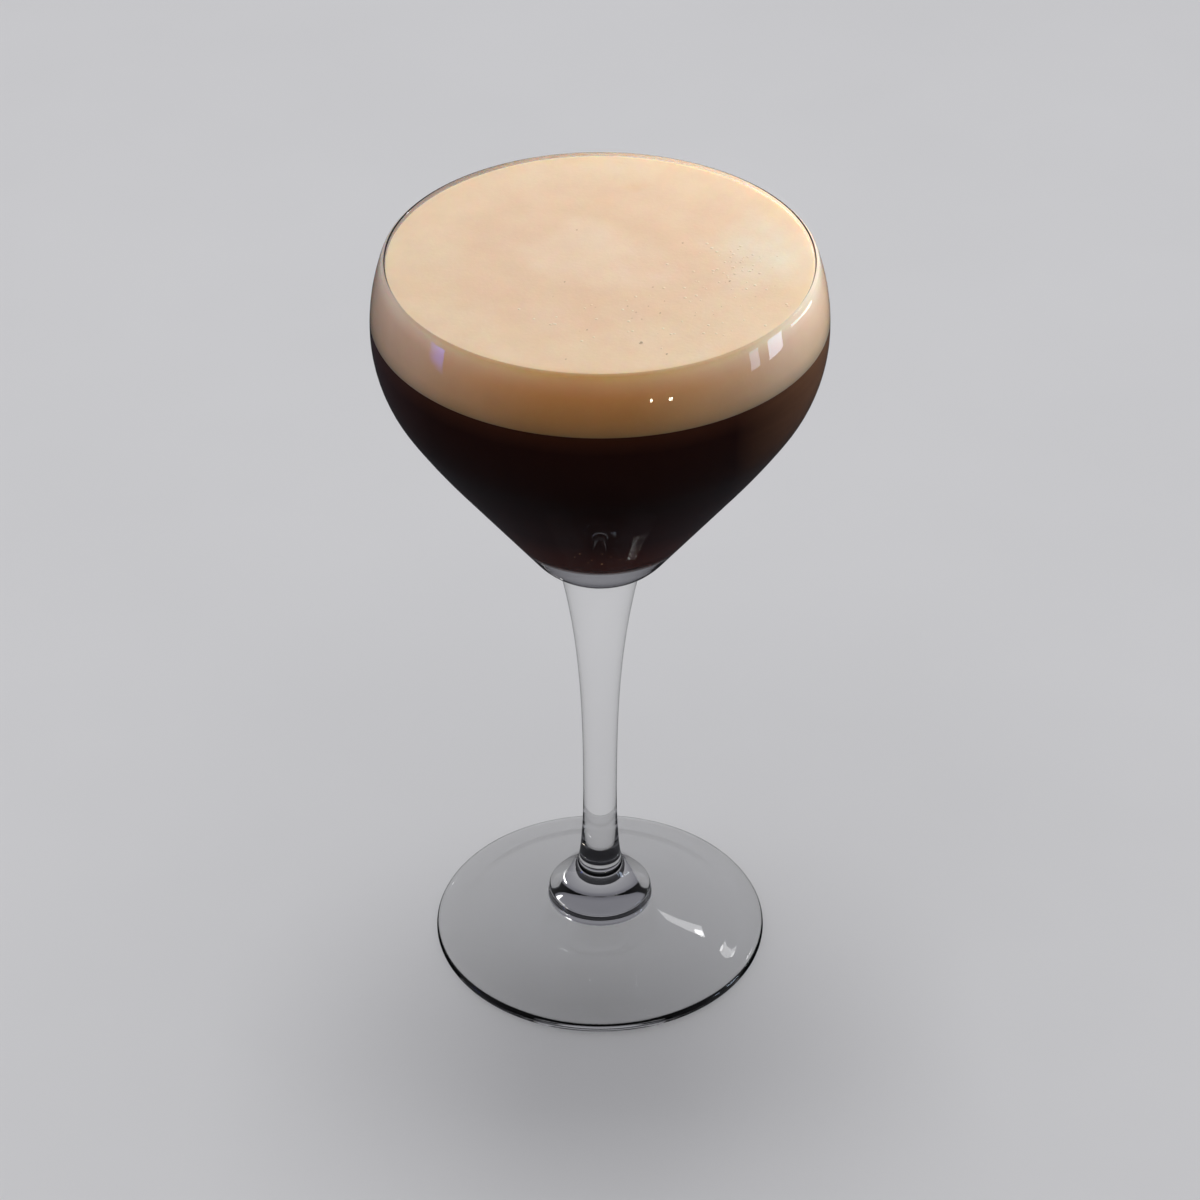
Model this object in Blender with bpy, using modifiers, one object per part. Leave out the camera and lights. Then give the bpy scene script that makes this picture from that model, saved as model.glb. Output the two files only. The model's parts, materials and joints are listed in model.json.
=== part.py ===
"""A stemmed cocktail glass, brim-full of dark coffee drink under a thick layer of cream foam.

Metres, +Z up. The origin is the middle of the foot's underside, on the surface that the glass stands on.
Three solids, each turned about Z: the glass (bowl, stem and foot in one piece), the coffee and the foam.

An outline is drawn on the +X side, down its outer face, by a pen that bends and runs. Its leans are in
degrees from straight down, positive where the outline leans outwards.
"""
import math

import bpy

# Bowl, outer face
HEIGHT = 0.160
WIDE_RADIUS = 0.04265
WIDE_Z = 0.1463
RISE_RADIUS = 0.0392
SHOULDER_RADIUS = 0.0304
SHOULDER_LEAN = -31.3
SIDE_RADIUS = 0.169
SIDE_LEAN = -36.5
SIDE_RUN = 0.0268
BASE_RADIUS = 0.0128
BASE_LEAN = -64.0

# Bowl, inner face
WALL = 0.0010
CORNER_RADIUS = 0.005
FLOOR_HALF_WIDTH = 0.0172
FLOOR_RADIUS = 0.045

# Stem
NECK_FILLET = 0.0019
NECK_LEAN = -17.0
COLLAR_RADIUS = 0.032
COLLAR_LEAN = -11.5
WAIST_RADIUS = 0.0034
WAIST_Z = 0.034
ANKLE_BEND = 0.133
ANKLE_LEAN = 6.0

# Hub at the foot of the stem
HUB_FILLET = 0.0094
HUB_LEAN = 48.8
HUB_RUN = 0.0037
HUB_EDGE = 0.0011

# Foot
FOOT_RADIUS = 0.0338
FOOT_EDGE = 0.0012
FOOT_FILLET = 0.0010
FOOT_INNER_LEAN = 66.0
FOOT_OUTER_LEAN = 81.0
REST_RING_WIDTH = 0.0016
DISH_HEIGHT = 0.0040

# What fills the bowl
FOAM_TOP = 0.1595
FOAM_EDGE = 0.0006
DRINK_LEVEL = 0.1481
GAP = 0.0003

# Fineness: sides of a turn, the most that a flat may leave its arc, and points of the stem's taper
TURN_STEPS = 48
FLAT_SAG = 0.00003
STEM_STEPS = 10
MERGE = 0.00001

# Finishes
GLASS_COLOUR = (0.93, 0.95, 0.95, 1.0)
GLASS_ROUGHNESS = 0.02
COFFEE_COLOUR = (0.020, 0.009, 0.006, 1.0)
COFFEE_ROUGHNESS = 0.10
FOAM_COLOUR = (0.72, 0.53, 0.36, 1.0)
FOAM_ROUGHNESS = 0.70


class Pen:
    """Draws a turned outline as (radius, height) points."""

    def __init__(self, radius, height):
        self.points = [(radius, height)]

    def bend(self, lean, new_lean, radius):
        """Follows an arc of the given radius from one lean to another, in flats that stay close to it."""
        r, z = self.points[-1]
        side = 1 if new_lean > lean else -1
        start = math.radians(lean)
        turn = math.radians(new_lean - lean)
        widest_flat = 2 * math.acos(1 - FLAT_SAG / radius)
        steps = math.ceil(abs(turn) / widest_flat)
        for step in range(1, steps + 1):
            angle = start + turn * step / steps
            along = side * radius * (math.cos(start) - math.cos(angle))
            down = side * radius * (math.sin(angle) - math.sin(start))
            self.points.append((r + along, z - down))
        return self

    def run(self, lean, length):
        """Goes straight on."""
        r, z = self.points[-1]
        angle = math.radians(lean)
        self.points.append((r + length * math.sin(angle), z - length * math.cos(angle)))
        return self

    def to(self, radius, height):
        """Goes straight to a place."""
        self.points.append((radius, height))
        return self


def rise_angle(height, inset):
    """How far up the rising arc above the bowl's widest place a height lies, in degrees."""
    return math.degrees(math.asin((height - WIDE_Z) / (RISE_RADIUS - inset)))


def rise_point(angle, inset):
    """A point of the rising arc, inset from the outer face."""
    turn = math.radians(angle)
    reach = RISE_RADIUS - inset
    return WIDE_RADIUS - RISE_RADIUS + reach * math.cos(turn), WIDE_Z + reach * math.sin(turn)


def bowl_side(start_angle, inset):
    """The bowl's side, inset from its outer face, down to the straight part."""
    pen = Pen(*rise_point(start_angle, inset))
    pen.bend(start_angle, 0, RISE_RADIUS - inset)
    pen.bend(0, SHOULDER_LEAN, SHOULDER_RADIUS - inset)
    pen.bend(SHOULDER_LEAN, SIDE_LEAN, SIDE_RADIUS - inset)
    return pen


def bowl_inside(start_angle, inset):
    """The side at an inset, then the rounded corner and the shallow floor, to the axis."""
    pen = bowl_side(start_angle, inset)
    floor_slope = math.degrees(math.asin(FLOOR_HALF_WIDTH / FLOOR_RADIUS))
    corner = CORNER_RADIUS - (inset - WALL)
    floor = FLOOR_RADIUS - (inset - WALL)
    corner_width = corner * (math.cos(math.radians(SIDE_LEAN)) - math.cos(math.radians(floor_slope - 90)))
    straight_width = pen.points[-1][0] - floor * math.sin(math.radians(floor_slope)) - corner_width
    pen.run(SIDE_LEAN, straight_width / -math.sin(math.radians(SIDE_LEAN)))
    pen.bend(SIDE_LEAN, floor_slope - 90, corner)
    pen.bend(floor_slope - 90, -90, floor)
    return pen.points


def lip(angle):
    """The round lip, from its inner side up to its top and down to its outer side."""
    pen = Pen(*rise_point(angle, WALL))
    pen.bend(180 + angle, 90, WALL / 2)
    pen.bend(90, angle, WALL / 2)
    return pen.points[1:-1]


def stem_taper(pen):
    """The stem's taper from the collar to the waist, as a power curve that leaves along the collar's lean."""
    top_r, top_z = pen.points[-1]
    drop = top_z - WAIST_Z
    swell = top_r - WAIST_RADIUS
    power = -math.tan(math.radians(COLLAR_LEAN)) * drop / swell
    for step in range(1, STEM_STEPS + 1):
        share = 1 - step / STEM_STEPS
        pen.to(WAIST_RADIUS + swell * share ** power, WAIST_Z + drop * share)


def foot(pen):
    """A small step under the hub, the foot's sloping top, its edge and its dished underside.

    The slope's arc takes the width that is left, and the step takes the height that is left.
    """
    inner = math.radians(FOOT_INNER_LEAN)
    outer = math.radians(FOOT_OUTER_LEAN)
    hub_r, hub_z = pen.points[-1]
    fillet_width = FOOT_FILLET * (1 - math.cos(inner))
    edge_width = FOOT_EDGE * (1 - math.cos(outer))
    slope_radius = (FOOT_RADIUS - edge_width - fillet_width - hub_r) / (math.cos(inner) - math.cos(outer))
    fillet_drop = FOOT_FILLET * math.sin(inner)
    slope_drop = slope_radius * (math.sin(outer) - math.sin(inner))
    edge_drop = FOOT_EDGE * (math.sin(outer) + 1)
    pen.run(0, hub_z - fillet_drop - slope_drop - edge_drop)
    pen.bend(0, FOOT_INNER_LEAN, FOOT_FILLET)
    pen.bend(FOOT_INNER_LEAN, FOOT_OUTER_LEAN, slope_radius)
    pen.bend(FOOT_OUTER_LEAN, -90, FOOT_EDGE)
    dish_reach = FOOT_RADIUS - FOOT_EDGE - REST_RING_WIDTH
    pen.to(dish_reach, pen.points[-1][1])
    dish_radius = (dish_reach ** 2 + DISH_HEIGHT ** 2) / (2 * DISH_HEIGHT)
    dish_slope = math.degrees(math.asin(dish_reach / dish_radius))
    pen.bend(-90 - dish_slope, -90, dish_radius)


def glass_outline():
    """Up the inside, over the lip, and down the outside to the middle of the underside."""
    lip_angle = rise_angle(HEIGHT - WALL / 2, WALL / 2)
    inside = bowl_inside(lip_angle, WALL)[::-1]
    pen = bowl_side(lip_angle, 0)
    pen.run(SIDE_LEAN, SIDE_RUN)
    pen.bend(SIDE_LEAN, BASE_LEAN, BASE_RADIUS)
    pen.bend(BASE_LEAN, NECK_LEAN, NECK_FILLET)
    pen.bend(NECK_LEAN, COLLAR_LEAN, COLLAR_RADIUS)
    stem_taper(pen)
    pen.bend(0, ANKLE_LEAN, ANKLE_BEND)
    pen.bend(ANKLE_LEAN, HUB_LEAN, HUB_FILLET)
    pen.run(HUB_LEAN, HUB_RUN)
    pen.bend(HUB_LEAN, 0, HUB_EDGE)
    foot(pen)
    return on_axis(inside + lip(lip_angle) + pen.points)


def coffee_outline():
    """From the middle of the drink's top, down the bowl's inside."""
    inset = WALL + GAP
    top = DRINK_LEVEL - GAP / 2
    side = bowl_inside(rise_angle(top, inset), inset)
    return on_axis([(0, top)] + side)


def foam_outline():
    """A thick disc with a small bevel round its top, between the drink and the lip."""
    inset = WALL + GAP
    top_angle = rise_angle(FOAM_TOP - FOAM_EDGE, inset)
    bottom = DRINK_LEVEL + GAP / 2
    side_r, side_z = rise_point(top_angle, inset)
    pen = Pen(0, FOAM_TOP)
    pen.to(side_r - FOAM_EDGE, FOAM_TOP).to(side_r, side_z)
    pen.bend(top_angle, rise_angle(bottom, inset), RISE_RADIUS - inset)
    pen.to(0, bottom)
    return pen.points


def on_axis(outline):
    """Puts the first and last points exactly on the axis."""
    return [(0, outline[0][1])] + outline[1:-1] + [(0, outline[-1][1])]


def finish(name, colour, roughness):
    """A Principled finish, with the shader's sockets."""
    material = bpy.data.materials.new(name)
    material.use_nodes = True
    material.diffuse_color = colour
    sockets = material.node_tree.nodes["Principled BSDF"].inputs
    sockets["Base Color"].default_value = colour
    sockets["Roughness"].default_value = roughness
    return material, sockets


def clear_glass():
    """Clear, polished glass."""
    material, sockets = finish("clear_glass", GLASS_COLOUR, GLASS_ROUGHNESS)
    sockets["Transmission Weight"].default_value = 1.0
    return material


def dark_coffee():
    """Near-black coffee."""
    return finish("dark_coffee", COFFEE_COLOUR, COFFEE_ROUGHNESS)[0]


def cream_foam():
    """Fine, matte cream foam."""
    return finish("cream_foam", FOAM_COLOUR, FOAM_ROUGHNESS)[0]


def turned(name, outline, material, collection):
    """A solid turned about Z from its outline."""
    mesh = bpy.data.meshes.new(name)
    points = [(r, 0, z) for r, z in outline]
    mesh.from_pydata(points, [(i, i + 1) for i in range(len(points) - 1)], [])
    mesh.materials.append(material)
    piece = bpy.data.objects.new(name, mesh)
    collection.objects.link(piece)
    screw = piece.modifiers.new("turn", "SCREW")
    screw.axis = "Z"
    screw.angle = math.radians(360)
    screw.steps = TURN_STEPS
    screw.render_steps = TURN_STEPS
    screw.use_merge_vertices = True
    screw.merge_threshold = MERGE
    screw.use_smooth_shade = True


def main():
    for old in list(bpy.data.objects):
        bpy.data.objects.remove(old)
    collection = bpy.data.collections.new("coffee_cocktail_glass")
    bpy.context.scene.collection.children.link(collection)
    turned("glass", glass_outline(), clear_glass(), collection)
    turned("coffee", coffee_outline(), dark_coffee(), collection)
    turned("foam", foam_outline(), cream_foam(), collection)


main()
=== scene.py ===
# %% [markdown]
# # A coffee cocktail in a stemmed glass
# The object is a clear glass on a slim stem, filled to its brim with a dark coffee drink and a thick
# layer of cream foam. The CAD frame gives its three solids as faceted shapes. This lesson keeps their
# places and sizes, makes each one smooth, adds the small marks that the foam shows, and lights them.
# Lengths are in metres, unless a comment says millimetres.

import json
import math
import random

import bmesh
import bpy
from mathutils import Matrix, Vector

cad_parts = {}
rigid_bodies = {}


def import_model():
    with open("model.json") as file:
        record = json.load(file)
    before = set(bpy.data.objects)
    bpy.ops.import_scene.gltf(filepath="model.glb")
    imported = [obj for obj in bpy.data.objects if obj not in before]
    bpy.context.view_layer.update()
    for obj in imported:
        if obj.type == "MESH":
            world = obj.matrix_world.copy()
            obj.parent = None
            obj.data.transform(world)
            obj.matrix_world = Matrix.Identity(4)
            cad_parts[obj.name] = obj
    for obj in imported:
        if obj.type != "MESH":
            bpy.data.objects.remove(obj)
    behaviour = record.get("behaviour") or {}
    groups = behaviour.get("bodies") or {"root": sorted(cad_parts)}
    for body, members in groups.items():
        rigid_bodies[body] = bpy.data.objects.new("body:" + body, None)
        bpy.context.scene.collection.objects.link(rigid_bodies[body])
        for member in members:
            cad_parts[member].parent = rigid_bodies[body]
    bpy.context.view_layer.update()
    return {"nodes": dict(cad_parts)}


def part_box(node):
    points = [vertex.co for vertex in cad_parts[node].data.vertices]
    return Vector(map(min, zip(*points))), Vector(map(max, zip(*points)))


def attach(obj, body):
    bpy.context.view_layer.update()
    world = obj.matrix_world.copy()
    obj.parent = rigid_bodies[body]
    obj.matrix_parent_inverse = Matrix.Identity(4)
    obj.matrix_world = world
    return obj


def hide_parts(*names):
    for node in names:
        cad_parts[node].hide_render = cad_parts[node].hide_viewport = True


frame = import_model()
for node in ("glass", "coffee", "foam"):
    low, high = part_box(node)
    print(f"{node}: {low.z * 1000:.2f} to {high.z * 1000:.2f} mm high, {(high.x - low.x) * 1000:.2f} mm wide")

# %% [markdown]
# ## Working by hand, in code
# Every operator acts on what is selected, and the frame leaves its nodes selected. So one helper picks a
# single piece, and another picks the points, edges or faces of it that pass a test of place or direction.

# %% Helpers for picking
def pick(piece):
    """Selects one piece and nothing else."""
    bpy.ops.object.select_all(action="DESELECT")
    piece.select_set(True)
    bpy.context.view_layer.objects.active = piece


def edit(piece):
    """Opens one piece in edit mode."""
    pick(piece)
    bpy.ops.object.mode_set(mode="EDIT")


def leave():
    """Goes back to object mode."""
    bpy.ops.object.mode_set(mode="OBJECT")


def select(kind, test):
    """In edit mode, selects the VERT, EDGE or FACE elements that pass a test, and counts them."""
    bpy.ops.mesh.select_mode(type=kind)
    bpy.ops.mesh.select_all(action="DESELECT")
    mesh = bmesh.from_edit_mesh(bpy.context.object.data)
    found = [e for e in {"VERT": mesh.verts, "EDGE": mesh.edges, "FACE": mesh.faces}[kind] if test(e)]
    for element in found:
        element.select_set(True)
    mesh.select_flush_mode()
    bmesh.update_edit_mesh(bpy.context.object.data)
    return len(found)


def radius(point):
    """How far a point lies from the middle line of the glass."""
    return math.hypot(point.x, point.y)


# %% A helper that measures
def report(piece):
    """Prints a piece's size and whether it is closed."""
    piece.data.calc_loop_triangles()
    heights = [v.co.z for v in piece.data.vertices]
    widest = max(radius(v.co) for v in piece.data.vertices)
    shape = bmesh.new()
    shape.from_mesh(piece.data)
    open_edges = sum(not e.is_manifold for e in shape.edges)
    volume = shape.calc_volume(signed=True)
    shape.free()
    print(f"{piece.name}: {len(piece.data.loop_triangles)} triangles, z {min(heights) * 1000:.2f} to "
          f"{max(heights) * 1000:.2f} mm, widest radius {widest * 1000:.2f} mm, {open_edges} open edges, "
          f"{volume * 1e6:.2f} ml")


# %% [markdown]
# ## The outline of the glass
# A stemmed glass is the same all round, so one half of its outline says everything about its shape. The
# outline could be drawn again by hand, but the frame already holds it. A copy of the glass is merged,
# and every point off the right-hand half of one upright plane is deleted, which leaves the outline.

# %% Copy the glass and keep its outline
MERGE = 0.000001


def copy_node(node, name):
    """A merged copy of a CAD node's mesh, as a piece of its own."""
    pick(frame["nodes"][node])
    bpy.ops.object.duplicate()
    piece = bpy.context.object
    bpy.ops.object.parent_clear(type="CLEAR_KEEP_TRANSFORM")
    for key in [k for k in piece.keys() if k.startswith("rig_")]:
        del piece[key]
    piece.name = name
    piece.data.materials.clear()
    edit(piece)
    bpy.ops.mesh.select_all(action="SELECT")
    bpy.ops.mesh.remove_doubles(threshold=MERGE)
    leave()
    return piece


glass = copy_node("glass", "clear_stemmed_glass")
edit(glass)
select("VERT", lambda v: abs(v.co.y) > MERGE or v.co.x < -MERGE)
bpy.ops.mesh.delete(type="VERT")
leave()
print("outline points:", len(glass.data.vertices))

# %% [markdown]
# ## A smooth outline
# The outline has corners where the frame's flats meet. Made a curve with automatic handles, it runs
# through the same points without corners. The long straight run of the bowl would bulge between its two
# far ends, so it is split into short steps first.

# %% Smooth the outline
LONG_EDGE = 0.008
LONG_EDGE_CUTS = 15
CURVE_STEPS = 4

edit(glass)
print("straight runs split:", select("EDGE", lambda e: e.calc_length() > LONG_EDGE))
bpy.ops.mesh.subdivide(number_cuts=LONG_EDGE_CUTS)
leave()

bpy.ops.object.convert(target="CURVE")
glass = bpy.context.object
bpy.ops.object.mode_set(mode="EDIT")
bpy.ops.curve.select_all(action="SELECT")
bpy.ops.curve.spline_type_set(type="BEZIER")
bpy.ops.curve.handle_type_set(type="AUTOMATIC")
leave()
glass.data.resolution_u = CURVE_STEPS
bpy.ops.object.convert(target="MESH")
glass = bpy.context.object
print("smooth outline points:", len(glass.data.vertices))

# %% [markdown]
# ## The turned glass
# The real glass is blown and drawn, and comes out round. Here the outline is spun once about the middle
# line. The curve dips a hair below the foot's resting ring, so those points are first flattened onto the
# floor. Once the seam and the middle are merged, the faces are turned to point outwards.

# %% Spin the outline
TURN_STEPS = 160

edit(glass)
select("VERT", lambda v: v.co.z < 0)
bpy.ops.transform.resize(value=(1, 1, 0), center_override=(0, 0, 0))
bpy.ops.mesh.select_all(action="SELECT")
bpy.ops.mesh.spin(steps=TURN_STEPS, angle=2 * math.pi, center=(0, 0, 0), axis=(0, 0, 1))
bpy.ops.mesh.select_all(action="SELECT")
bpy.ops.mesh.remove_doubles(threshold=MERGE)
bpy.ops.mesh.normals_make_consistent(inside=False)
leave()
bpy.ops.object.shade_smooth()
report(glass)

# %% [markdown]
# ## What fills the glass
# A drink takes its shape from its glass. So the inner wall of the finished glass is copied, cut at two
# levels, and pushed a little way into the wall. A drink modelled flush with the glass, or short of it,
# would show a silvery film of air, because light turns back where glass meets air.

# %% Copy the inner wall between two levels
WALL_REACH = 0.00015
BOWL_MIDDLE = Vector((0, 0, 0.140))
INSIDE_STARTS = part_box("coffee")[0].z - 0.001


def inner_wall(name, low, high):
    """The inner wall of the glass between two heights, pushed a little into the glass."""
    pick(glass)
    bpy.ops.object.duplicate()
    piece = bpy.context.object
    piece.name = name
    edit(piece)

    def faces_in(face):
        middle = face.calc_center_median()
        return middle.z > INSIDE_STARTS and face.normal.dot(BOWL_MIDDLE - middle) > 0

    select("FACE", lambda f: not faces_in(f))
    bpy.ops.mesh.delete(type="FACE")
    for height, above in ((high, True), (low, False)):
        bpy.ops.mesh.select_all(action="SELECT")
        bpy.ops.mesh.bisect(plane_co=(0, 0, height), plane_no=(0, 0, 1), clear_outer=above,
                            clear_inner=not above)
    bpy.ops.mesh.select_all(action="SELECT")
    bpy.ops.mesh.normals_make_consistent(inside=False)
    bpy.ops.transform.shrink_fatten(value=WALL_REACH)
    for height in (low, high):
        select("VERT", lambda v: abs(v.co.z - height) < WALL_REACH)
        bpy.ops.transform.resize(value=(1, 1, 0), center_override=(0, 0, height))
    leave()
    return piece


# %% Close a level, and finish a closed piece
SHARP_ANGLE = math.radians(40)


def close_level(height):
    """In edit mode, fills the open ring of edges at a height with one face."""
    select("EDGE", lambda e: e.is_boundary and all(abs(v.co.z - height) < WALL_REACH for v in e.verts))
    bpy.ops.mesh.edge_face_add()


def finish_closed(piece):
    """Turns the faces of a closed piece outwards and shades it smooth, but for its sharp edges."""
    edit(piece)
    bpy.ops.mesh.select_all(action="SELECT")
    bpy.ops.mesh.normals_make_consistent(inside=False)
    leave()
    bpy.ops.object.shade_smooth_by_angle(angle=SHARP_ANGLE)
    report(piece)


# %% [markdown]
# ## The coffee
# The drink runs from the rounded floor of the bowl up to the underside of the foam, where the line
# between them is crisp. The wall's copy is closed with one flat face at that level.

# %% The coffee
DRINK_LEVEL = 0.1481

coffee = inner_wall("coffee_drink", 0.0, DRINK_LEVEL)
edit(coffee)
close_level(DRINK_LEVEL)
leave()
finish_closed(coffee)

# %% [markdown]
# ## The foam
# The cream foam is a thick disc that clings to the glass and ends just under its rim, where it rounds
# over. The round edge is a few insets that each rise a little less than the one before. Seen through the
# front of the glass, it lets the cream top run softly into the darker side. The rest of the top is
# filled with narrow rings, so that it has enough points for a soft relief.

# %% The foam
FOAM_RIM = 0.15915
FOAM_TOP = 0.1595
EDGE_ROUNDING = 0.00035
EDGE_STEPS = 6
FOAM_RINGS = 60
FOAM_RING_WIDTH = 0.0006

foam = inner_wall("cream_foam_layer", DRINK_LEVEL, FOAM_RIM)
edit(foam)
close_level(DRINK_LEVEL)
close_level(FOAM_RIM)
for step in range(EDGE_STEPS):
    start, end = (math.radians(90 * s / EDGE_STEPS) for s in (step, step + 1))
    bpy.ops.mesh.inset(thickness=EDGE_ROUNDING * (math.cos(start) - math.cos(end)),
                       depth=EDGE_ROUNDING * (math.sin(end) - math.sin(start)))
for ring in range(FOAM_RINGS):
    bpy.ops.mesh.inset(thickness=FOAM_RING_WIDTH, depth=0)
bpy.ops.mesh.poke()
leave()
finish_closed(foam)

# %% [markdown]
# ## A soft relief on the foam
# A shaken foam settles almost flat, with low swells left from the pour. They could be sculpted, but a
# cloudy texture in a Displace modifier gives the same swells each time. A vertex group fades them out
# towards the wall, so that the foam's edge stays level and keeps to the glass.

# %% Raise and lower the foam's top
RELIEF = 0.00018
RELIEF_SCALE = 0.011
RELIEF_ENDS = 0.0383
RELIEF_FADE = 0.006
LEVEL_SLACK = 0.00002

top_group = foam.vertex_groups.new(name="top")
for vertex in foam.data.vertices:
    if vertex.co.z > FOAM_TOP - LEVEL_SLACK:
        weight = min(1, max(0, (RELIEF_ENDS - radius(vertex.co)) / RELIEF_FADE))
        top_group.add([vertex.index], weight, "REPLACE")
swells = bpy.data.textures.new("foam_swells", "CLOUDS")
swells.noise_scale = RELIEF_SCALE
swells.noise_depth = 2
relief = foam.modifiers.new("relief", "DISPLACE")
relief.texture = swells
relief.texture_coords = "LOCAL"
relief.direction = "Z"
relief.strength = RELIEF
relief.mid_level = 0.5
relief.vertex_group = "top"
pick(foam)
bpy.ops.object.modifier_apply(modifier="relief")
report(foam)

# %% [markdown]
# ## One bubble and one pit
# Fine foam holds a few bubbles that stand up as tiny domes, and pits where bubbles have burst. Each kind
# is modelled once at a radius of one metre, and copied small. The dome is a ball cut below its middle
# and pressed flatter. The pit is a low drum drawn in at its top, which is inset to a lip, and again to a
# floor that lies lower. A vertex attribute marks that floor, so that the finish can make it browner.

# %% Model a bubble
DOME_CUT = -0.2
DOME_FLATNESS = 0.22

bpy.ops.object.select_all(action="DESELECT")
bpy.ops.mesh.primitive_ico_sphere_add(subdivisions=2, radius=1)
bubble = bpy.context.object
edit(bubble)
bpy.ops.mesh.select_all(action="SELECT")
bpy.ops.mesh.bisect(plane_co=(0, 0, DOME_CUT), plane_no=(0, 0, 1), use_fill=True, clear_inner=True)
bpy.ops.mesh.select_all(action="SELECT")
bpy.ops.transform.resize(value=(1, 1, DOME_FLATNESS), center_override=(0, 0, 0))
leave()
bpy.ops.object.shade_smooth_by_angle(angle=SHARP_ANGLE)
print("bubble faces:", len(bubble.data.polygons))

# %% Model a pit
PIT_SIDES = 12
PIT_HEIGHT = 0.16
PIT_ROOT = 0.4
PIT_TAPER = 0.72
PIT_LIP = 0.14
PIT_SLOPE = 0.10
PIT_FLOOR = 0.05
FACES_UP = 0.9

bpy.ops.object.select_all(action="DESELECT")
bpy.ops.mesh.primitive_cylinder_add(vertices=PIT_SIDES, radius=1, depth=PIT_HEIGHT + PIT_ROOT,
                                    location=(0, 0, (PIT_HEIGHT - PIT_ROOT) / 2))
pit = bpy.context.object
bpy.ops.object.transform_apply(location=True, rotation=False, scale=False)
edit(pit)
select("FACE", lambda f: f.normal.z > FACES_UP)
bpy.ops.transform.resize(value=(PIT_TAPER, PIT_TAPER, 1), center_override=(0, 0, PIT_HEIGHT))
bpy.ops.mesh.inset(thickness=PIT_LIP, depth=0)
bpy.ops.mesh.inset(thickness=PIT_SLOPE, depth=PIT_FLOOR - PIT_HEIGHT)
leave()
bpy.ops.object.shade_smooth_by_angle(angle=SHARP_ANGLE)
depth = pit.data.attributes.new("pit_depth", "FLOAT", "POINT")
for vertex in pit.data.vertices:
    depth.data[vertex.index].value = 1.0 if radius(vertex.co) < PIT_TAPER - PIT_LIP - PIT_SLOPE / 2 else 0.0
print("pit faces:", len(pit.data.polygons))

# %% [markdown]
# ## Places on the foam and on the drink
# A ray that is cast straight down finds the foam's height and slope at a place, and one cast from the
# side finds the drink's wall. So each mark sits on the surface that carries it.

# %% Find places
MM = 0.001
RAY_START = 0.2


def on_foam(x, y):
    """The point and the slope of the foam's top at a place given in millimetres."""
    _, point, slope, _ = foam.ray_cast(Vector((x * MM, y * MM, RAY_START)), Vector((0, 0, -1)))
    return point, slope


def on_drink(azimuth, height):
    """The point and the slope of the drink's wall, in degrees round from the right and in millimetres."""
    outwards = Vector((math.cos(math.radians(azimuth)), math.sin(math.radians(azimuth)), 0))
    start = outwards * RAY_START + Vector((0, 0, height * MM))
    _, point, slope, _ = coffee.ray_cast(start, -outwards)
    return point, slope


def scatter(model, name, marks):
    """Copies a model to marks of (point, slope, size in millimetres), and joins the copies to one piece."""
    copies = []
    for point, slope, size in marks:
        pick(model)
        bpy.ops.object.duplicate()
        copy = bpy.context.object
        copy.location = point
        copy.rotation_euler = slope.to_track_quat("Z", "Y").to_euler()
        copy.scale = (size * MM, size * MM, size * MM)
        copies.append(copy)
    for copy in copies:
        copy.select_set(True)
    bpy.ops.object.join()
    piece = bpy.context.object
    bpy.ops.object.transform_apply(location=True, rotation=True, scale=True)
    piece.name = name
    report(piece)
    return piece


# %% [markdown]
# ## Bubbles and pits on the foam
# The bubbles gather in a patch at the right, where the pour ended, and thin out towards the front. The
# larger bubbles and pits have places of their own, given as x, y and size in millimetres. The small ones
# are drawn at random with a fixed seed, so that they fall in the same places each time.

# %% Scatter the bubbles and the pits
random.seed(7)
FOAM_REACH = 37.5
BUBBLE_SIZES = (0.14, 0.32)
PIT_SIZES = (0.10, 0.18)
LARGE_BUBBLES = ((12.3, -1.2, 0.30), (20.6, 4.6, 0.34), (27.4, -3.7, 0.32), (24.5, 2.4, 0.28),
                 (29.5, -22.7, 0.30), (22.9, -0.5, 0.26), (25.8, -0.5, 0.30))
LARGE_PITS = ((-4.3, 11.2, 0.24), (15.3, 6.4, 0.26), (-6.4, -7.6, 0.26), (9.6, -9.4, 0.22),
              (7.3, -28.6, 0.55), (-6.0, -34.0, 0.22), (11.8, -32.3, 0.30), (10.8, -18.4, 0.26),
              (-2.3, -24.2, 0.26), (23.6, -7.3, 0.30), (5.0, -16.0, 0.22), (7.5, -20.5, 0.20),
              (6.5, -18.1, 0.20))
BUBBLE_PATCHES = ((25, -1, 4.0, 4.5, 42), (18, -14, 8, 7, 30), (4, -22, 10, 6, 24))
PIT_PATCHES = ((24, -2, 4.0, 4.0, 7), (9, -20, 9, 7, 12))


def drawn(patches, sizes):
    """Random places of (x, y, size) in oval patches of (x, y, half width, half depth, count)."""
    places = []
    for x, y, wide, deep_and_glow, count in patches:
        while count:
            place = (random.gauss(x, wide), random.gauss(y, deep_and_glow))
            if math.hypot(*place) < FOAM_REACH:
                places.append((*place, random.uniform(*sizes)))
                count -= 1
    return places


foam_bubbles = scatter(bubble, "foam_bubbles", [
    (*on_foam(x, y), size) for x, y, size in list(LARGE_BUBBLES) + drawn(BUBBLE_PATCHES, BUBBLE_SIZES)])
foam_pits = scatter(pit, "foam_pits", [
    (*on_foam(x, y), size) for x, y, size in list(LARGE_PITS) + drawn(PIT_PATCHES, PIT_SIZES)])

# %% [markdown]
# ## Bubbles low in the drink
# A few tiny bubbles cling to the glass just above the drink's floor. They are the same dome, with its
# flat side against the drink, so they reach a little further into the wall. Their places are given in
# degrees round from the right, with the height and the size in millimetres.

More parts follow.
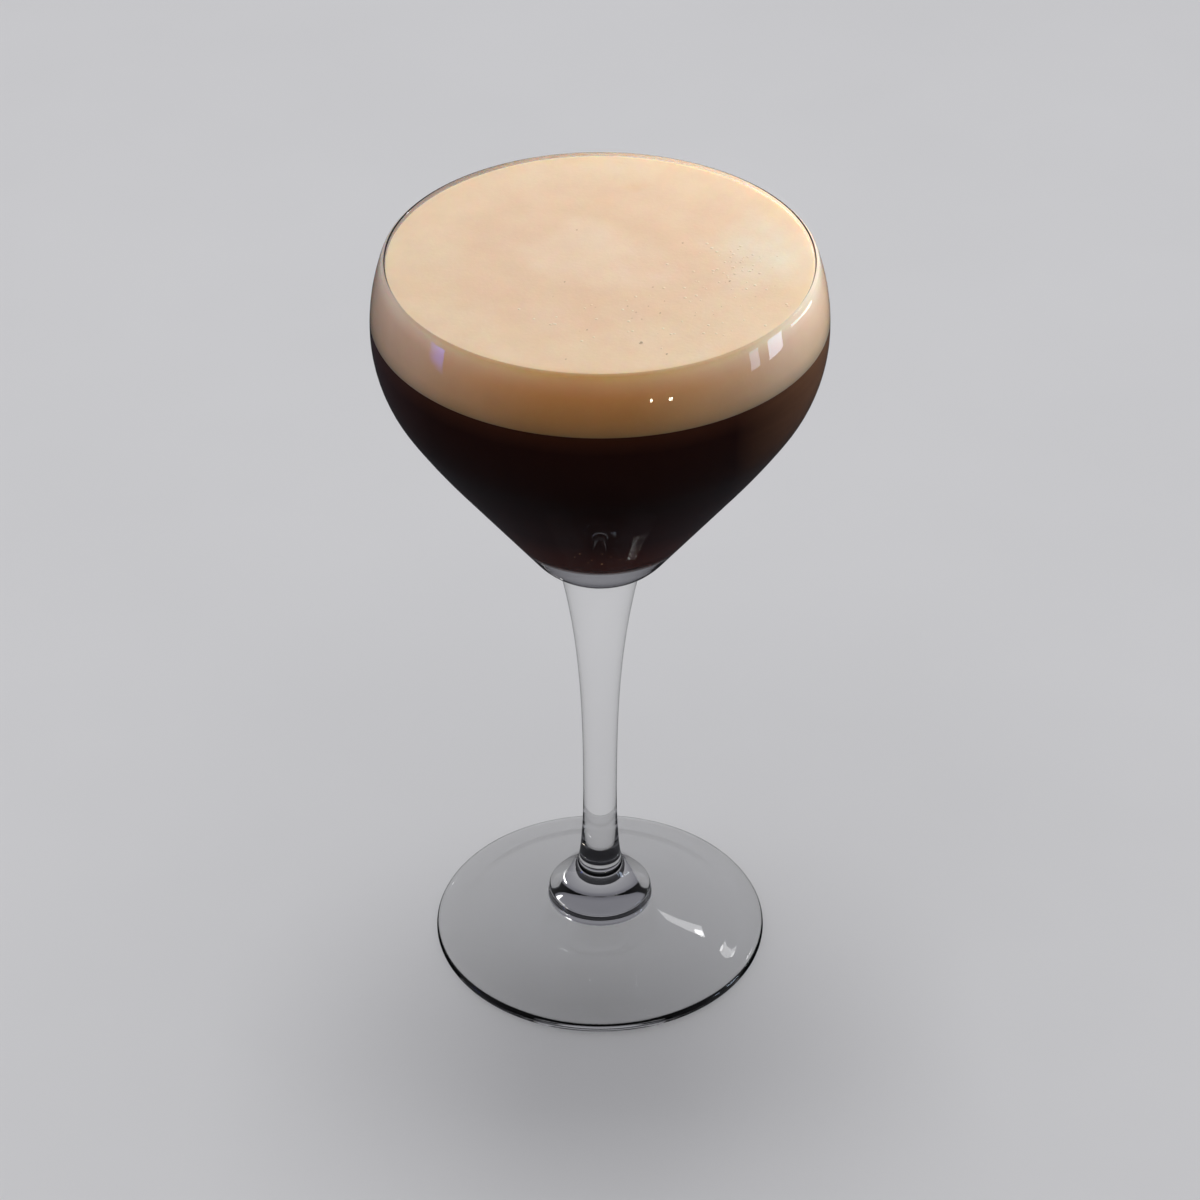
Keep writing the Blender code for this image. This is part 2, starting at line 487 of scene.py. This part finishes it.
# %% Scatter the low bubbles
LOW_BUBBLES = ((261, 110.8, 0.17), (271, 111.1, 0.15), (266, 108.2, 0.16), (271, 106.4, 0.19),
               (280, 108.0, 0.12), (264, 106.9, 0.12), (275, 109.6, 0.12), (258, 109.0, 0.11))

drink_bubbles = scatter(bubble, "drink_bubbles", [
    (*on_drink(azimuth, height), size) for azimuth, height, size in LOW_BUBBLES])
for model in (bubble, pit):
    bpy.data.objects.remove(model)

# %% [markdown]
# ## Painting with nodes
# Each finish is a small node tree that reads the place on the object, so that a pattern stays where it
# is from every side. The helpers below add a node, join two, and set the stops of a colour ramp.

# %% Helpers for finishes
class Finish:
    """A material with a Principled shader, and short ways to add and join nodes."""

    def __init__(self, name):
        self.material = bpy.data.materials.new(name)
        self.material.use_nodes = True
        self.tree = self.material.node_tree
        self.shader = self.tree.nodes["Principled BSDF"]

    def node(self, kind, **inputs):
        """Adds a node; each name sets a socket of the node, or else one of its settings."""
        made = self.tree.nodes.new("ShaderNode" + kind)
        for key, value in inputs.items():
            name = key.replace("_", " ")
            if name in made.inputs:
                made.inputs[name].default_value = value
            else:
                setattr(made, key, value)
        return made

    def join(self, source, target):
        """Joins an output to a socket."""
        self.tree.links.new(source, target)

    def set(self, **sockets):
        """Sets uniform values on the shader's own sockets."""
        for key, value in sockets.items():
            self.shader.inputs[key.replace("_", " ")].default_value = value

    def place(self):
        """The place on the object."""
        return self.node("TexCoord").outputs["Object"]

    def axes(self, place):
        """The X, Y and Z of a place."""
        made = self.node("SeparateXYZ")
        self.join(place, made.inputs[0])
        return made.outputs

    def distance(self, place, middle):
        """How far a place lies from a fixed one."""
        made = self.node("VectorMath", operation="DISTANCE")
        self.join(place, made.inputs[0])
        made.inputs[1].default_value = middle
        return made.outputs["Value"]

    def span(self, value, start, end, low=0.0, high=1.0):
        """Maps a value from one range to another, held at its ends."""
        made = self.node("MapRange", From_Min=start, From_Max=end, To_Min=low, To_Max=high)
        self.join(value, made.inputs["Value"])
        return made.outputs["Result"]

    def ramp(self, value, *stops):
        """A colour ramp over a value, from stops of (position, colour)."""
        made = self.node("ValToRGB")
        elements = made.color_ramp.elements
        while len(elements) < len(stops):
            elements.new(0.5)
        for element, (position, colour) in zip(elements, stops):
            element.position = position
            element.color = (*colour, 1)
        self.join(value, made.inputs[0])
        return made.outputs[0]

    def mix(self, factor, first, second, blend="MIX"):
        """Mixes two colours, each given as an output or as a plain colour."""
        made = self.node("Mix", data_type="RGBA", blend_type=blend)
        for socket, value in (("Factor", factor), ("A", first), ("B", second)):
            target = made.inputs[socket] if socket == "Factor" else next(
                s for s in made.inputs if s.name == socket and s.type == "RGBA")
            if isinstance(value, bpy.types.NodeSocket):
                self.join(value, target)
            else:
                target.default_value = value if socket == "Factor" else (*value, 1)
        return next(s for s in made.outputs if s.type == "RGBA")

    def noise(self, place, scale, detail=3.0):
        """Soft random clouds; a higher scale makes them smaller."""
        made = self.node("TexNoise", Scale=scale, Detail=detail, Roughness=0.6)
        self.join(place, made.inputs["Vector"])
        return made.outputs["Fac"]

    def bump(self, height, strength, distance):
        """Shades the surface as if it rose and fell with a height."""
        made = self.node("Bump", Strength=strength, Distance=distance)
        self.join(height, made.inputs["Height"])
        self.join(made.outputs["Normal"], self.shader.inputs["Normal"])


# %% [markdown]
# ## Clear glass
# The glass has no colour, pattern or wear of its own. What is seen on it comes from the light that it
# bends and mirrors, so its finish is the plainest: smooth, fully clear, and with the bend of real glass.

# %% Clear glass
def clear_glass():
    finish = Finish("clear_polished_glass")
    finish.set(Base_Color=(1, 1, 1, 1), Roughness=0, IOR=1.5, Transmission_Weight=1)
    return finish.material


# %% [markdown]
# ## Dark coffee
# The drink is near-black where it is deep. Painted light turns it reddish brown just under the foam and near
# the floor of the bowl, where light comes through it, and brown at its upper right, where the light comes
# through its thin edge. A painted reflection of bluish light makes it a little mauve at its left. So the
# colour is a ramp over the height, with the painted brown mixed in towards the right and the painted mauve
# towards the left. Noise stretched sideways breaks the brown into faint wisps.

# %% Dark coffee
DEEP_BOTTOM = 0.100
# Painted light: the reddish brown at both ends of this ramp stands for light coming through the drink.
DEEP_AND_GLOW_STOPS = ((0.0, (0.088, 0.022, 0.011)), (0.12, (0.050, 0.012, 0.007)), (0.3, (0.018, 0.004, 0.003)),
              (0.6, (0.009, 0.003, 0.002)), (0.92, (0.018, 0.005, 0.003)), (1.0, (0.052, 0.018, 0.009)))
WISP_SCALE = (40, 40, 420)
WISP_SPAN = (0.4, 0.7, 0.93, 1.07)
# Painted light: brown where light comes through the thin upper right edge of the drink.
LIT_EDGE_BROWN = (0.195, 0.094, 0.046)
LIT_EDGE_X = (0.024, 0.0425)
LIT_EDGE_Z = (0.118, 0.139)
# Painted reflection: mauve at the left of the drink.
MAUVE_REFLECTION = (0.070, 0.034, 0.034)
MAUVE_REFLECTION_X = (-0.030, -0.043)
MAUVE_REFLECTION_SHARE = 0.6


def dark_coffee():
    finish = Finish("dark_coffee_drink")
    place = finish.place()
    axes = finish.axes(place)
    deep_and_glow = finish.ramp(finish.span(axes["Z"], DEEP_BOTTOM, DRINK_LEVEL), *DEEP_AND_GLOW_STOPS)
    stretched = finish.node("Mapping", Scale=WISP_SCALE)
    finish.join(place, stretched.inputs["Vector"])
    wisps = finish.span(finish.noise(stretched.outputs[0], 1.0, detail=2.0), *WISP_SPAN)
    # Painted light: brown at the upper right, where light comes through the thin edge, broken into wisps.
    share = finish.node("Math", operation="MULTIPLY", use_clamp=True)
    finish.join(finish.span(axes["X"], *LIT_EDGE_X), share.inputs[0])
    finish.join(wisps, share.inputs[1])
    lit_edge = finish.mix(share.outputs[0], deep_and_glow, LIT_EDGE_BROWN)
    colour = finish.mix(finish.span(axes["Z"], *LIT_EDGE_Z), deep_and_glow, lit_edge)
    # Painted reflection: mauve towards the left.
    colour = finish.mix(finish.span(axes["X"], *MAUVE_REFLECTION_X, 0.0, MAUVE_REFLECTION_SHARE), colour, MAUVE_REFLECTION)
    finish.join(colour, finish.shader.inputs["Base Color"])
    finish.set(Roughness=0.1, IOR=1.12)
    return finish.material


# %% [markdown]
# ## The top of the foam
# On the foam's top the pour has left a pale middle, a tanner ring and a light margin, with a few soft spots.
# One large pale spot at the right is a painted sheen, where the light from the back right glances off the
# foam. The rings could be painted by how far a place lies from the middle, but would look drawn, so noise
# first moves each place. It moves a place by half its strength on average, and the middles of the rings and
# spots are moved along. A spot is given as x, y and size in millimetres, its share and colour.

# %% The colour of the foam's top
SHIFT = 0.022
SHIFT_SCALE = 70.0
RING_MIDDLE = (0.0, 1.0)
RING_REACH = 0.042
RING_STOPS = ((0.0, (0.96, 0.735, 0.535)), (0.22, (0.96, 0.735, 0.535)), (0.36, (0.92, 0.685, 0.48)),
              (0.58, (0.94, 0.695, 0.49)), (0.78, (0.98, 0.735, 0.515)), (1.0, (1.0, 0.74, 0.52)))
# The last spot, large and pale at the right, is a painted sheen; the others are the foam's own.
FOAM_SPOTS_AND_SHEEN = ((9.0, -1.5, 9.0, 0.45, (0.90, 0.64, 0.47)), (-18.7, 17.5, 6.0, 0.35, (0.88, 0.66, 0.44)),
              (-2.4, 18.2, 4.0, 0.35, (0.86, 0.64, 0.43)), (6.8, 28.5, 2.6, 0.5, (0.92, 0.62, 0.36)),
              (-2.0, 9.0, 8.0, 0.5, (0.95, 0.74, 0.56)), (33.0, 2.0, 14.0, 0.9, (1.0, 0.86, 0.68)))


def foam_top(finish, place):
    """The colour of the foam's top: rings about its middle, soft spots and a painted sheen at the right."""
    shift = finish.node("TexNoise", Scale=SHIFT_SCALE, Detail=2.0)
    finish.join(place, shift.inputs["Vector"])
    moved = finish.node("VectorMath", operation="MULTIPLY_ADD")
    finish.join(shift.outputs["Color"], moved.inputs[0])
    moved.inputs[1].default_value = (SHIFT, SHIFT, 0)
    finish.join(place, moved.inputs[2])

    def away(x, y):
        """How far a moved place lies from one that is given in millimetres."""
        return finish.distance(moved.outputs[0], (x * MM + SHIFT / 2, y * MM + SHIFT / 2, FOAM_TOP))

    colour = finish.ramp(finish.span(away(*RING_MIDDLE), 0, RING_REACH), *RING_STOPS)
    # The last of these is the painted sheen at the right.
    for x, y, size, share, tint in FOAM_SPOTS_AND_SHEEN:
        colour = finish.mix(finish.span(away(x, y), size * MM, 0, 0, share), colour, tint)
    return colour


# %% [markdown]
# ## Cream foam
# Foam is thousands of tiny bubbles, and light goes some way into it and comes out warmer, so the finish lets
# light through below the surface, red the furthest. The side is darkest where it meets the drink. Golden
# painted shade covers its front, standing for the shade there and the light that comes through the foam, and
# painted shade makes its back duller. In front the golden painted shade also runs over the top's edge, so
# that the top ends softly. A fine bump and faint clouds break up what would otherwise look like wax.

# %% Cream foam
SIDE_STOPS = ((0.0, (0.54, 0.40, 0.26)), (0.25, (0.76, 0.57, 0.38)), (0.75, (0.88, 0.68, 0.49)),
              (0.92, (1.0, 0.84, 0.66)))
# Painted shade: the golden front of the foam's side.
GOLDEN_SHADE_STOPS = ((0.0, (0.38, 0.27, 0.14)), (0.3, (0.62, 0.40, 0.17)), (0.65, (0.86, 0.56, 0.24)),
                (0.9, (1.0, 0.78, 0.46)))
GOLDEN_SHADE_Y = (-0.026, -0.0405)
GOLDEN_SHADE_SHARE = 0.9
# Painted shade: the duller back of the foam's side.
BACK_SHADE = (0.58, 0.46, 0.35)
BACK_SHADE_Y = (0.018, 0.034)
BACK_SHADE_SHARE = 0.6
# Painted shade: a golden band along the front edge of the foam's top.
FRONT_EDGE_SHADE = (0.86, 0.60, 0.34)
EDGE_SHADE_REACH = (0.0374, 0.0393)
EDGE_SHADE_SHARE = 0.8
TOP_HEIGHTS = (FOAM_TOP - 0.0004, FOAM_TOP - 0.00015)
CLOUD_SCALE = 130.0
CLOUD_STOPS = ((0.35, (0.955, 0.94, 0.92)), (0.65, (1, 1, 1)))
GRAIN_SCALE = 1400.0
GRAIN_DEPTH = 0.00015
GLOW_REACH = 0.0034


def cream_foam():
    finish = Finish("fine_cream_foam")
    place = finish.place()
    axes = finish.axes(place)
    height = finish.span(axes["Z"], DRINK_LEVEL, FOAM_TOP)
    # Painted shade: golden at the front of the side and duller at its back; at the front it also darkens the
    # edge of the top.
    front_shade = finish.span(axes["Y"], *GOLDEN_SHADE_Y, 0.0, GOLDEN_SHADE_SHARE)
    side = finish.mix(front_shade, finish.ramp(height, *SIDE_STOPS), finish.ramp(height, *GOLDEN_SHADE_STOPS))
    side = finish.mix(finish.span(axes["Y"], *BACK_SHADE_Y, 0.0, BACK_SHADE_SHARE), side, BACK_SHADE)
    top = foam_top(finish, place)
    edge_shade_band = finish.span(finish.distance(place, (0, 0, FOAM_TOP)), *EDGE_SHADE_REACH, 0.0, EDGE_SHADE_SHARE)
    top = finish.mix(edge_shade_band, top, finish.mix(front_shade, top, FRONT_EDGE_SHADE))
    colour = finish.mix(finish.span(axes["Z"], *TOP_HEIGHTS), side, top)
    clouds = finish.ramp(finish.noise(place, CLOUD_SCALE, detail=4.0), *CLOUD_STOPS)
    finish.join(finish.mix(1.0, colour, clouds, blend="MULTIPLY"), finish.shader.inputs["Base Color"])
    finish.bump(finish.noise(place, GRAIN_SCALE), 0.25, GRAIN_DEPTH)
    finish.set(Roughness=0.55, Subsurface_Weight=0.7, Subsurface_Radius=(1.0, 0.58, 0.30),
               Subsurface_Scale=GLOW_REACH)
    return finish.material


# %% [markdown]
# ## Bubbles and pits
# A bubble's skin is wet and a little paler than the foam, so it catches a point of light. A pit lies in its
# own shade, and its floor is painted browner, partly as painted shade and partly for the browner foam below
# the skin. The bubbles in the drink are golden brown.

# %% Bubbles and pits
SPECKLE_SCALE = 900.0
SKIN_SCALE = 6000.0
SKIN_DEPTH = 0.00002


def speckled(name, dark, light, roughness, floor=None):
    """A finish that varies between two colours from one small mark to the next, with a pit's floor."""
    finish = Finish(name)
    place = finish.place()
    colour = finish.ramp(finish.noise(place, SPECKLE_SCALE), (0.35, dark), (0.65, light))
    if floor:
        depth = finish.node("Attribute", attribute_name="pit_depth")
        colour = finish.mix(depth.outputs["Fac"], colour, floor)
    finish.join(colour, finish.shader.inputs["Base Color"])
    finish.bump(finish.noise(place, SKIN_SCALE), 0.1, SKIN_DEPTH)
    finish.set(Roughness=roughness)
    return finish.material


bubble_skin = speckled("foam_bubble_skin", (1.0, 0.78, 0.55), (1.0, 0.86, 0.67), 0.35)
# The pit's brown floor is partly painted shade.
pit_skin = speckled("foam_pit_skin", (0.90, 0.68, 0.46), (1.0, 0.78, 0.56), 0.5, floor=(0.60, 0.41, 0.25))
golden_bubble = speckled("golden_bubble_skin", (0.34, 0.15, 0.05), (0.75, 0.42, 0.18), 0.2)

# %% [markdown]
# ## Joining the frame
# Each piece gets its finish and rides on the frame's one body. The three turned pieces stand for the frame's
# solids, and the bubbles and pits are added to them.

# %% Give each piece its finish and its place in the frame
PIECES = ((glass, "clear_glass", clear_glass(), "glass"), (coffee, "dark_coffee", dark_coffee(), "coffee"),
          (foam, "cream_foam", cream_foam(), "foam"), (foam_bubbles, "cream_foam", bubble_skin, None),
          (foam_pits, "cream_foam", pit_skin, None), (drink_bubbles, "dark_coffee", golden_bubble, None))

for piece, slot, finish, node in PIECES:
    piece.data.materials.clear()
    piece.data.materials.append(finish)
    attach(piece, "root")
    if node:
        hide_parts(node)
    print(piece.name, "has the finish", finish.name)

# %% [markdown]
# ## The floor
# The glass stands on a plain pale floor. Real glass lets most light through, but a renderer would have
# to find every bent path to the floor, so the glass casts no shadow here and the lamps light what is
# behind it directly. The floor is given as darker to mirrored rays alone, because the near-black drink
# would otherwise mirror a pale floor all over and look milky.

# %% The floor
FLOOR_SIZE = 12
FLOOR_COLOUR = (0.74, 0.74, 0.75)
MIRRORED_FLOOR = (0.036, 0.036, 0.040)
FLOOR_DROP = 0.0001
FLOOR_CLOUDS = ((0.3, (0.97, 0.97, 0.97)), (0.7, (1, 1, 1)))

glass.visible_shadow = False
bpy.ops.object.select_all(action="DESELECT")
bpy.ops.mesh.primitive_plane_add(size=FLOOR_SIZE, location=(0, 0, -FLOOR_DROP))
floor = bpy.context.object
floor.name = "pale_floor"
paint = Finish("pale_floor")
mirrored = paint.span(paint.node("LightPath").outputs["Glossy Depth"], 0, 1)
clouds = paint.ramp(paint.noise(paint.place(), 9.0), *FLOOR_CLOUDS)
pale = paint.mix(1.0, FLOOR_COLOUR, clouds, blend="MULTIPLY")
paint.join(paint.mix(mirrored, pale, MIRRORED_FLOOR), paint.shader.inputs["Base Color"])
paint.set(Roughness=0.8, Specular_IOR_Level=0)
floor.data.materials.append(paint.material)
print("floor:", FLOOR_SIZE, "m wide")

# %% [markdown]
# ## The camera
# The camera looks down at the rim from in front. Its place, its tilt and its lens were worked out from
# how round the rim and the foot look in the picture.

# %% The camera
CAMERA_PLACE = (0, -0.59985, 0.51318)
LOOKS_DOWN = 35.65
LENS = 113.5
FILM_WIDTH = 36
NEAREST = 0.01

camera = bpy.data.objects.new("camera", bpy.data.cameras.new("camera"))
bpy.context.scene.collection.objects.link(camera)
camera.location = CAMERA_PLACE
camera.rotation_euler = (math.radians(90 - LOOKS_DOWN), 0, 0)
camera.data.lens = LENS
camera.data.sensor_width = FILM_WIDTH
camera.data.clip_start = NEAREST
bpy.context.scene.camera = camera
print("camera:", LENS, "mm lens, looking down by", LOOKS_DOWN, "degrees")

# %% [markdown]
# ## Soft light
# The light comes mostly from the back right, and from above. Bluish light from the left turns that side
# of the foam mauve, light from the right makes the other side beige, and a weak warm light comes low
# from the front. These lamps are large and would show in the glass as plates, so they are hidden from
# mirrored and bent rays. Four of them stand close by and would paint pools of light on the floor, so
# light linking lets them light the pieces alone, and a wide lamp far above lights the floor alone,
# evenly.

# %% Soft lamps
AIM = Vector((0, 0, 0.12))


def lamp(name, place, width, height, power, colour=(1, 1, 1)):
    """A rectangular lamp that points at the middle of the bowl and is hidden from the camera."""
    data = bpy.data.lights.new(name, "AREA")
    data.shape = "RECTANGLE"
    data.size = width
    data.size_y = height
    data.energy = power
    data.color = colour
    light = bpy.data.objects.new(name, data)
    bpy.context.scene.collection.objects.link(light)
    light.location = place
    light.rotation_euler = (AIM - Vector(place)).to_track_quat("-Z", "Y").to_euler()
    light.visible_camera = False
    return light


def at(azimuth, elevation, distance):
    """A place seen from the middle of the bowl; azimuth 0 is to the right and 90 is to the back."""
    a, e = math.radians(azimuth), math.radians(elevation)
    return AIM + distance * Vector((math.cos(a) * math.cos(e), math.sin(a) * math.cos(e), math.sin(e)))


top_soft = lamp("top_soft", at(90, 75, 1.2), 0.5, 0.5, 5.0)
near_lamps = (lamp("key_soft", at(42, 32, 0.5), 0.22, 0.22, 2.0, (1.0, 0.97, 0.93)),
              lamp("left_soft", at(166, 10, 1.0), 0.25, 0.5, 2.9, (0.62, 0.69, 1.0)),
              lamp("right_soft", at(5, 4, 0.9), 0.18, 0.30, 3.0, (0.54, 0.70, 1.0)),
              lamp("front_soft", at(268, 2, 1.0), 0.30, 0.30, 1.6, (1.0, 0.60, 0.28)))
floor_soft = lamp("floor_soft", (0, 0, 5.0), 8.0, 8.0, 170.0)
for soft in (top_soft, floor_soft) + near_lamps:
    soft.visible_glossy = False
    soft.visible_transmission = False

pieces_only = bpy.data.collections.new("lit_by_the_near_lamps")
for row in PIECES:
    pieces_only.objects.link(row[0])
floor_only = bpy.data.collections.new("lit_by_the_floor_lamp")
floor_only.objects.link(floor)
for soft in near_lamps:
    soft.light_linking.receiver_collection = pieces_only
floor_soft.light_linking.receiver_collection = floor_only
print("lamps that light the pieces alone:", len(near_lamps))

# %% [markdown]
# ## What the glass mirrors
# Glass is seen mostly by what it mirrors: small windows at both sides of the bowl, one high at the back
# right that runs over the foot, a low strip that draws a streak along the rim at the right, and two
# lamps in front. Each is placed where the mirror direction from its highlight points, and lights nothing
# matt. The left window has a narrow beam, so that its blue keeps off the foot. The side windows are
# hidden from bent rays too, because they would show through the stem and the foot.

# %% Windows and lamps in the glass
LAMP_COLOUR = (1.0, 0.90, 0.72)
LEFT_BEAM = math.radians(20)
STRIP_TURN = math.radians(-15)


def window(name, place, width, height, brightness, colour=(1, 1, 1)):
    """A lit rectangle that shows in what is glossy or clear, and lights nothing matt."""
    light = lamp(name, place, width, height, brightness * math.pi * width * height, colour)
    light.visible_diffuse = False
    return light


window("window_back_right", (0.66, 0.86, 1.00), 0.20, 0.10, 4)
window("window_back_right_bright", (0.60, 0.90, 1.03), 0.05, 0.05, 13)
window_left = window("window_left", (-0.57, -0.0816, 0.070), 0.09, 0.12, 0.072, (0.08, 0.15, 1.0))
window_low = window("window_low_right", (0.469, 0.205, 0.059), 0.21, 0.022, 4.5, (0.85, 0.95, 1.0))
window_left.data.spread = LEFT_BEAM
window_low.rotation_euler.rotate_axis("Z", STRIP_TURN)
for side_window in (
        window_left, window_low,
        window("window_right_front", (0.6152, -0.1454, 0.090), 0.06, 0.10, 4, (0.64, 0.76, 1.0)),
        window("window_right", (0.6282, 0.0063, 0.090), 0.11, 0.12, 6.5, (0.66, 0.78, 1.0))):
    side_window.visible_transmission = False
window("lamp_front_a", (0.329, -0.7637, 0.0502), 0.020, 0.020, 32, LAMP_COLOUR)
window("lamp_front_b", (0.4427, -0.7004, 0.035), 0.025, 0.020, 32, LAMP_COLOUR)
print("lights in all:", len(bpy.data.lights))

# %% [markdown]
# ## The room
# A soft grey room surrounds the glass. It is brightest near the horizon and darker in front, so that the
# rim shows a clean line at the back and none at the front.

# %% The room
SKY = ((0.40, (0.10, 0.10, 0.10)), (0.49, (0.34, 0.34, 0.36)), (0.62, (0.26, 0.26, 0.28)),
       (0.90, (0.14, 0.14, 0.16)))
FRONT_TO_BACK = (("From Min", -0.6), ("From Max", 0.3), ("To Min", 0.25), ("To Max", 1.1))

world = bpy.data.worlds.new("studio")
world.use_nodes = True
bpy.context.scene.world = world
world.cycles.sampling_method = "NONE"
tree = world.node_tree
background = tree.nodes["Background"]
split = tree.nodes.new("ShaderNodeSeparateXYZ")
tree.links.new(tree.nodes.new("ShaderNodeTexCoord").outputs["Generated"], split.inputs[0])
upwards = tree.nodes.new("ShaderNodeMapRange")
upwards.inputs["From Min"].default_value = -1
sky = tree.nodes.new("ShaderNodeValToRGB")
while len(sky.color_ramp.elements) < len(SKY):
    sky.color_ramp.elements.new(0.5)
for element, (height, grey) in zip(sky.color_ramp.elements, SKY):
    element.position = height
    element.color = (*grey, 1)
backwards = tree.nodes.new("ShaderNodeMapRange")
for socket, value in FRONT_TO_BACK:
    backwards.inputs[socket].default_value = value
tree.links.new(split.outputs["Z"], upwards.inputs["Value"])
tree.links.new(upwards.outputs["Result"], sky.inputs[0])
tree.links.new(sky.outputs[0], background.inputs["Color"])
tree.links.new(split.outputs["Y"], backwards.inputs["Value"])
tree.links.new(backwards.outputs["Result"], background.inputs["Strength"])
bpy.context.scene.view_settings.view_transform = "Standard"
print("room:", world.name)
